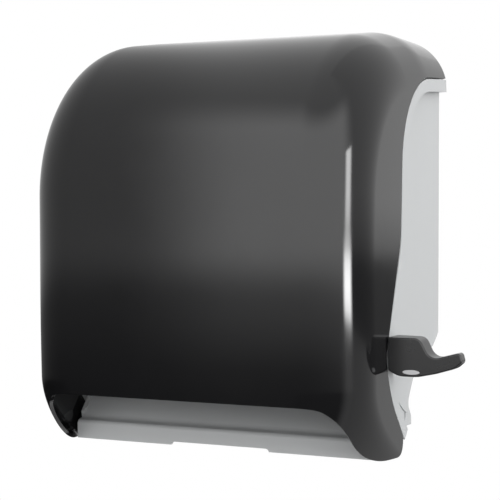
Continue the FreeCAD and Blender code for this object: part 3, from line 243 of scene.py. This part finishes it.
def build_cover():
    """The cover's outer surface as a grid, one row for each profile point.

    The profile is the top, the crown and the front. A row runs across the front, round the corner and
    along the flat side, and stops where its inward ray meets the side edge. Below the arch each leg has
    rows of its own, from the leg's front edge to its rear edge. Solidify gives the wall and Bevel rounds
    its edge.
    """
    arch = arch_height()
    crown, crown_inward = crown_profile()
    front = np.linspace(crown[-1, 1], arch, FRONT_ROWS)[1:]
    origins = np.concatenate([crown, np.stack([front_y(front), front], 1)])
    inward = np.concatenate([crown_inward, np.tile([1.0, 0.0], (len(front), 1))])
    nearest = crossings(origins, inward)[0]
    shares = np.linspace(0, 1, SIDE_COLUMNS)[None]
    radius = corner_radius(origins[:, 1:])
    right = on_side(origins, inward, shares * along_section(nearest[:, None], radius), radius)
    across = np.linspace(-1, 1, MIDDLE_COLUMNS)[None, 1:-1] * (SIDE - radius)
    shape = across.shape
    middle = np.stack([across, np.broadcast_to(origins[:, :1], shape),
                       np.broadcast_to(origins[:, 1:] + BASE, shape)], -1)
    main = np.concatenate([to_left(right), middle, right], 1)

    fall = (1 - np.cos(np.linspace(math.pi, 0, LEG_ROWS)[1:])) / 2
    height = BOTTOM + 1e-6 + (arch - BOTTOM - 1e-6) * fall
    leg_origins = np.stack([front_y(height), height], 1)
    leg_inward = np.tile([1.0, 0.0], (len(height), 1))
    radius = corner_radius(height)[:, None]
    nearest, furthest = (along_section(reach[:, None], radius)
                         for reach in crossings(leg_origins, leg_inward))
    leg = on_side(leg_origins, leg_inward, nearest + shares * (furthest - nearest), radius)

    columns = shares.size
    upper = np.arange(main.shape[0] * main.shape[1]).reshape(main.shape[:2])
    lower = np.arange(leg.shape[0] * columns).reshape(leg.shape[:2])
    first_left = upper.size
    first_right = first_left + lower.size
    left_leg = np.concatenate([upper[-1:, :columns], lower + first_left])
    right_leg = np.concatenate([upper[-1:, -columns:], lower + first_right])
    points = np.concatenate([main.reshape(-1, 3), to_left(leg).reshape(-1, 3), leg.reshape(-1, 3)])
    faces = np.concatenate([quads(upper), quads(left_leg), quads(right_leg)])
    shell = mesh_object("cover_shell", points, faces)
    wall = shell.modifiers.new("wall", "SOLIDIFY")
    wall.thickness = WALL
    wall.offset = -1
    rim = shell.modifiers.new("rim", "BEVEL")
    rim.width = 0.0007
    rim.segments = 3
    rim.limit_method = "ANGLE"
    rim.angle_limit = math.radians(50)
    rim.harden_normals = True
    return shell


def build_knuckle(name, sign):
    """One hinge knuckle inside a leg: a closed profile of (x, radius) turned round the hinge's axis."""
    near, far = KNUCKLE_ENDS
    bore, outside = KNUCKLE_RADII
    profile = np.array([(near, bore), (far, bore), (far, outside), (near, outside), (near, bore)])
    shape = (ARC_POINTS, len(profile))
    angle = np.linspace(0, 2 * math.pi, ARC_POINTS)[:, None]
    x = np.broadcast_to(profile[:, 0] * sign, shape)
    y = HINGE[0] + profile[:, 1] * np.cos(angle)
    z = HINGE[1] + BASE + profile[:, 1] * np.sin(angle)
    turned = np.stack([x, y, z], -1)
    index = np.arange(turned.size // 3).reshape(shape)
    index[-1] = index[0]
    index[:, -1] = index[:, 0]
    faces = quads(index)[:, ::int(-sign)]
    return mesh_object(name, turned.reshape(-1, 3), faces, smooth=False)


def mesh_object(name, points, faces, smooth=True):
    """A piece made of points and faces."""
    mesh = bpy.data.meshes.new(name)
    mesh.from_pydata(points.tolist(), [], faces.tolist())
    if smooth:
        mesh.shade_smooth()
    piece = bpy.data.objects.new(name, mesh)
    bpy.context.scene.collection.objects.link(piece)
    return piece


# Materials.

def node_group(name, inputs, build):
    """A shared effect: takes plain values and gives back a normal or a mask."""
    group = bpy.data.node_groups.new(name, "ShaderNodeTree")
    for label, kind, value in inputs:
        socket = group.interface.new_socket(name=label, in_out="INPUT", socket_type=kind)
        socket.default_value = value
    build(group)
    return group


def grain_group():
    """Fine moulded grain as a bumped normal, on object coordinates."""
    def build(group):
        group.interface.new_socket(name="Normal", in_out="OUTPUT", socket_type="NodeSocketVector")
        tree = group.nodes
        enter = tree.new("NodeGroupInput")
        leave = tree.new("NodeGroupOutput")
        where = tree.new("ShaderNodeTexCoord")
        noise = tree.new("ShaderNodeTexNoise")
        noise.inputs["Detail"].default_value = 3
        bump = tree.new("ShaderNodeBump")
        bump.inputs["Distance"].default_value = 0.0002
        link = group.links.new
        link(where.outputs["Object"], noise.inputs["Vector"])
        link(enter.outputs["Scale"], noise.inputs["Scale"])
        link(enter.outputs["Strength"], bump.inputs["Strength"])
        link(noise.outputs["Fac"], bump.inputs["Height"])
        link(bump.outputs["Normal"], leave.inputs["Normal"])
    inputs = [("Scale", "NodeSocketFloat", 900.0), ("Strength", "NodeSocketFloat", 0.1)]
    return node_group("grain", inputs, build)


def patch_group():
    """Slow variation between 0 and 1, for colour and roughness."""
    def build(group):
        group.interface.new_socket(name="Mask", in_out="OUTPUT", socket_type="NodeSocketFloat")
        tree = group.nodes
        enter = tree.new("NodeGroupInput")
        leave = tree.new("NodeGroupOutput")
        where = tree.new("ShaderNodeTexCoord")
        noise = tree.new("ShaderNodeTexNoise")
        noise.inputs["Detail"].default_value = 4
        noise.inputs["Roughness"].default_value = 0.6
        link = group.links.new
        link(where.outputs["Object"], noise.inputs["Vector"])
        link(enter.outputs["Scale"], noise.inputs["Scale"])
        link(noise.outputs["Fac"], leave.inputs["Mask"])
    return node_group("patches", [("Scale", "NodeSocketFloat", 14.0)], build)


GRAIN = grain_group()
PATCHES = patch_group()


def material(name, colour, roughness, metallic=0.0, grain=(900.0, 0.1), vary=0.06, spread=0.06, patch=14.0):
    """A moulded, rubber or metal finish: colour and roughness vary slowly, the grain bumps the normal."""
    made = bpy.data.materials.new(name)
    made.use_nodes = True
    tree = made.node_tree
    shader = tree.nodes["Principled BSDF"]
    shader.inputs["Metallic"].default_value = metallic
    link = tree.links.new
    patches = tree.nodes.new("ShaderNodeGroup")
    patches.node_tree = PATCHES
    patches.inputs["Scale"].default_value = patch
    ramp = tree.nodes.new("ShaderNodeMapRange")
    ramp.inputs["From Min"].default_value = 0.3
    ramp.inputs["From Max"].default_value = 0.7
    ramp.inputs["To Min"].default_value = max(roughness - spread, 0.02)
    ramp.inputs["To Max"].default_value = roughness + spread
    link(patches.outputs["Mask"], ramp.inputs["Value"])
    link(ramp.outputs["Result"], shader.inputs["Roughness"])
    mix = tree.nodes.new("ShaderNodeMix")
    mix.data_type = "RGBA"
    mix.inputs["A"].default_value = (*[c * (1 - vary) for c in colour], 1)
    mix.inputs["B"].default_value = (*[min(c * (1 + vary), 1) for c in colour], 1)
    link(patches.outputs["Mask"], mix.inputs["Factor"])
    link(mix.outputs["Result"], shader.inputs["Base Color"])
    surface = tree.nodes.new("ShaderNodeGroup")
    surface.node_tree = GRAIN
    surface.inputs["Scale"].default_value = grain[0]
    surface.inputs["Strength"].default_value = grain[1]
    link(surface.outputs["Normal"], shader.inputs["Normal"])
    return made


FINISHES = {
    "cover_black": material("cover_black", (0.006, 0.006, 0.0065), 0.09, spread=0.02, vary=0.1,
                            grain=(60.0, 0.02)),
    "body_grey": material("body_grey", (0.455, 0.465, 0.47), 0.42, vary=0.012),
    "chute_grey": material("chute_grey", (0.49, 0.5, 0.505), 0.4, vary=0.012),
    "rail_grey": material("rail_grey", (0.49, 0.5, 0.505), 0.45, vary=0.012),
    "lever_black": material("lever_black", (0.012, 0.012, 0.0125), 0.28, vary=0.1, grain=(700.0, 0.12)),
    "inset_grey": material("inset_grey", (0.45, 0.45, 0.46), 0.4, vary=0.03),
    "bar_steel": material("bar_steel", (0.62, 0.62, 0.62), 0.3, 1.0, grain=(500.0, 0.2)),
    "zinc_steel": material("zinc_steel", (0.6, 0.61, 0.63), 0.36, 1.0, patch=60.0, vary=0.1, spread=0.1),
    "screw_steel": material("screw_steel", (0.52, 0.53, 0.54), 0.34, 1.0, patch=80.0, vary=0.1),
    "shaft_steel": material("shaft_steel", (0.62, 0.62, 0.63), 0.24, 1.0, grain=(1500.0, 0.15)),
    "spring_steel": material("spring_steel", (0.42, 0.42, 0.43), 0.32, 1.0, patch=90.0),
    "lock_nickel": material("lock_nickel", (0.7, 0.69, 0.66), 0.18, 1.0, patch=90.0),
    "black_rubber": material("black_rubber", (0.02, 0.02, 0.02), 0.75, grain=(1200.0, 0.3)),
    "grip_rubber": material("grip_rubber", (0.09, 0.09, 0.095), 0.8, grain=(1100.0, 0.35)),
    "bearing_plastic": material("bearing_plastic", (0.75, 0.74, 0.7), 0.4),
    "gear_plastic": material("gear_plastic", (0.8, 0.79, 0.75), 0.38),
    "roller_plastic": material("roller_plastic", (0.12, 0.12, 0.125), 0.4),
    "yoke_plastic": material("yoke_plastic", (0.1, 0.1, 0.105), 0.45),
    "arm_plastic": material("arm_plastic", (0.36, 0.37, 0.38), 0.42),
}

for entry in frame["record"]["subparts"]:
    holder = NODES[entry["node"]]
    for slot in holder.material_slots:
        slot.material = FINISHES[entry["material_slot"]]

shell = build_cover()
knuckles = [build_knuckle("left_knuckle", -1), build_knuckle("right_knuckle", 1)]
for piece in [shell] + knuckles:
    piece.data.materials.append(FINISHES["cover_black"])
    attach(piece, "cover")
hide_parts("front_cover")


# Studio: white behind the object for the camera, and soft light whose strength depends on its direction.

def soft_step(tree, value, low, high):
    """0 below low, 1 above high, smooth between."""
    step = tree.nodes.new("ShaderNodeMapRange")
    step.interpolation_type = "SMOOTHSTEP"
    step.inputs["From Min"].default_value = low
    step.inputs["From Max"].default_value = high
    tree.links.new(value, step.inputs["Value"])
    return step.outputs["Result"]


def sum_up(tree, kind, first, second):
    """One arithmetic step between two sockets or numbers."""
    made = tree.nodes.new("ShaderNodeMath")
    made.operation = kind
    for place, term in enumerate((first, second)):
        if isinstance(term, (int, float)):
            made.inputs[place].default_value = term
        else:
            tree.links.new(term, made.inputs[place])
    return made.outputs["Value"]


def soft_box(tree, turn, rise, sides, ends, fades, strength):
    """A soft box seen from the object: between two turns and two rises in degrees, faded at its edges."""
    terms = [soft_step(tree, turn, sides[0], sides[0] + fades[0]),
             sum_up(tree, "SUBTRACT", 1.0, soft_step(tree, turn, sides[1] - fades[0], sides[1])),
             soft_step(tree, rise, ends[0], ends[0] + fades[1]),
             sum_up(tree, "SUBTRACT", 1.0, soft_step(tree, rise, ends[1] - fades[1], ends[1]))]
    box = strength
    for term in terms:
        box = sum_up(tree, "MULTIPLY", term, box)
    return box


def directions(tree):
    """Of the direction looked in: degrees round from the front towards +X, up from level, and off to +X."""
    where = tree.nodes.new("ShaderNodeTexCoord")
    split = tree.nodes.new("ShaderNodeSeparateXYZ")
    tree.links.new(where.outputs["Generated"], split.inputs["Vector"])
    forward = sum_up(tree, "MULTIPLY", split.outputs["Y"], -1.0)
    turn = sum_up(tree, "ARCTAN2", split.outputs["X"], forward)
    rise = sum_up(tree, "ARCSINE", split.outputs["Z"], 0.0)
    off = sum_up(tree, "ARCSINE", split.outputs["X"], 0.0)
    return [sum_up(tree, "MULTIPLY", angle, 180 / math.pi) for angle in (turn, rise, off)]


# Soft boxes: turns and rises in degrees, widths of the fades at both, strength.
FRONT_BOX = ((-120, 92), (-80, 62), (25, 20), 1.4)
DARK_SCREEN = ((89, 168), (-5.8, -1.7), (3, 0.25), 0.8)
LOW_STRIP = ((69, 91), (-5.6, -1.5), (7, 0.6), 24.0)
HIGH_STRIP = ((72, 88), (-1.1, 23), (6, 0.6), 11.0)


def studio_light(tree):
    """The studio's strength in each direction.

    It falls off below level in front; a large soft box stands before the object, up to a dark flat on
    its left. Two short strips stand at its right, with a dark screen behind them.
    """
    turn, rise, off = directions(tree)
    low = sum_up(tree, "MULTIPLY", soft_step(tree, rise, -12.5, -4.5), 0.28)
    level = sum_up(tree, "MULTIPLY", soft_step(tree, rise, -5.0, -1.6), 0.7)
    ahead = sum_up(tree, "ADD", sum_up(tree, "ADD", low, level), 0.02)
    beside = sum_up(tree, "ADD", sum_up(tree, "MULTIPLY", soft_step(tree, rise, -2, 0), 0.25), 0.6)
    share = soft_step(tree, turn, 60, 95)
    ground = sum_up(tree, "ADD", sum_up(tree, "MULTIPLY", ahead, sum_up(tree, "SUBTRACT", 1.0, share)),
                    sum_up(tree, "MULTIPLY", beside, share))
    clear = soft_step(tree, off, -30, -25)
    front_box = sum_up(tree, "ADD", soft_box(tree, turn, rise, *FRONT_BOX), 0.4)
    lit = sum_up(tree, "ADD", sum_up(tree, "MULTIPLY", front_box, clear), 0.6)
    unscreened = sum_up(tree, "SUBTRACT", 1.0, soft_box(tree, turn, rise, *DARK_SCREEN))
    total = sum_up(tree, "MULTIPLY", sum_up(tree, "MULTIPLY", ground, lit), unscreened)
    for strip in (LOW_STRIP, HIGH_STRIP):
        total = sum_up(tree, "ADD", total, soft_box(tree, turn, rise, *strip))
    return total


def seen_white(tree, other):
    """Camera and transmitted rays see plain white; the others see the shader that is passed in."""
    path = tree.nodes.new("ShaderNodeLightPath")
    rays = sum_up(tree, "MAXIMUM", path.outputs["Is Camera Ray"], path.outputs["Is Transmission Ray"])
    mixed = tree.nodes.new("ShaderNodeMixShader")
    tree.links.new(rays, mixed.inputs[0])
    tree.links.new(other, mixed.inputs[1])
    return mixed


def build_floor():
    """A pale floor far below the dispenser, which hangs on a wall; the camera sees it as plain white."""
    reach, height = 0.7, -1.3
    corners = np.array([(-reach, -reach, height), (reach, -reach, height), (reach, reach, height),
                        (-reach, reach, height)])
    floor = mesh_object("floor", corners, np.array([(0, 1, 2, 3)]), smooth=False)
    pale = bpy.data.materials.new("floor")
    pale.use_nodes = True
    tree = pale.node_tree
    shader = tree.nodes["Principled BSDF"]
    shader.inputs["Base Color"].default_value = (0.8, 0.8, 0.8, 1)
    shader.inputs["Roughness"].default_value = 0.9
    white = tree.nodes.new("ShaderNodeEmission")
    mixed = seen_white(tree, shader.outputs["BSDF"])
    tree.links.new(white.outputs["Emission"], mixed.inputs[2])
    tree.links.new(mixed.outputs["Shader"], tree.nodes["Material Output"].inputs["Surface"])
    floor.data.materials.append(pale)


def build_world():
    """The studio's soft light, with plain white for the camera."""
    world = bpy.data.worlds.new("studio")
    bpy.context.scene.world = world
    world.use_nodes = True
    tree = world.node_tree
    light = tree.nodes["Background"]
    light.inputs["Color"].default_value = (1, 1, 1, 1)
    tree.links.new(studio_light(tree), light.inputs["Strength"])
    bright = tree.nodes.new("ShaderNodeBackground")
    bright.inputs["Color"].default_value = (1, 1, 1, 1)
    bright.inputs["Strength"].default_value = 1.0
    mixed = seen_white(tree, light.outputs["Background"])
    tree.links.new(bright.outputs["Background"], mixed.inputs[2])
    tree.links.new(mixed.outputs["Shader"], tree.nodes["World Output"].inputs["Surface"])


build_floor()
build_world()

camera = bpy.data.objects.new("camera", bpy.data.cameras.new("camera"))
bpy.context.scene.collection.objects.link(camera)
camera.location = (0.4889, -1.1369, -0.0094)
camera.rotation_euler = (math.radians(88.5), 0, math.radians(24.98))
camera.data.sensor_width = 36
camera.data.lens = 102.45
camera.data.clip_start = 0.05
bpy.context.scene.camera = camera
bpy.context.scene.view_settings.view_transform = "Standard"
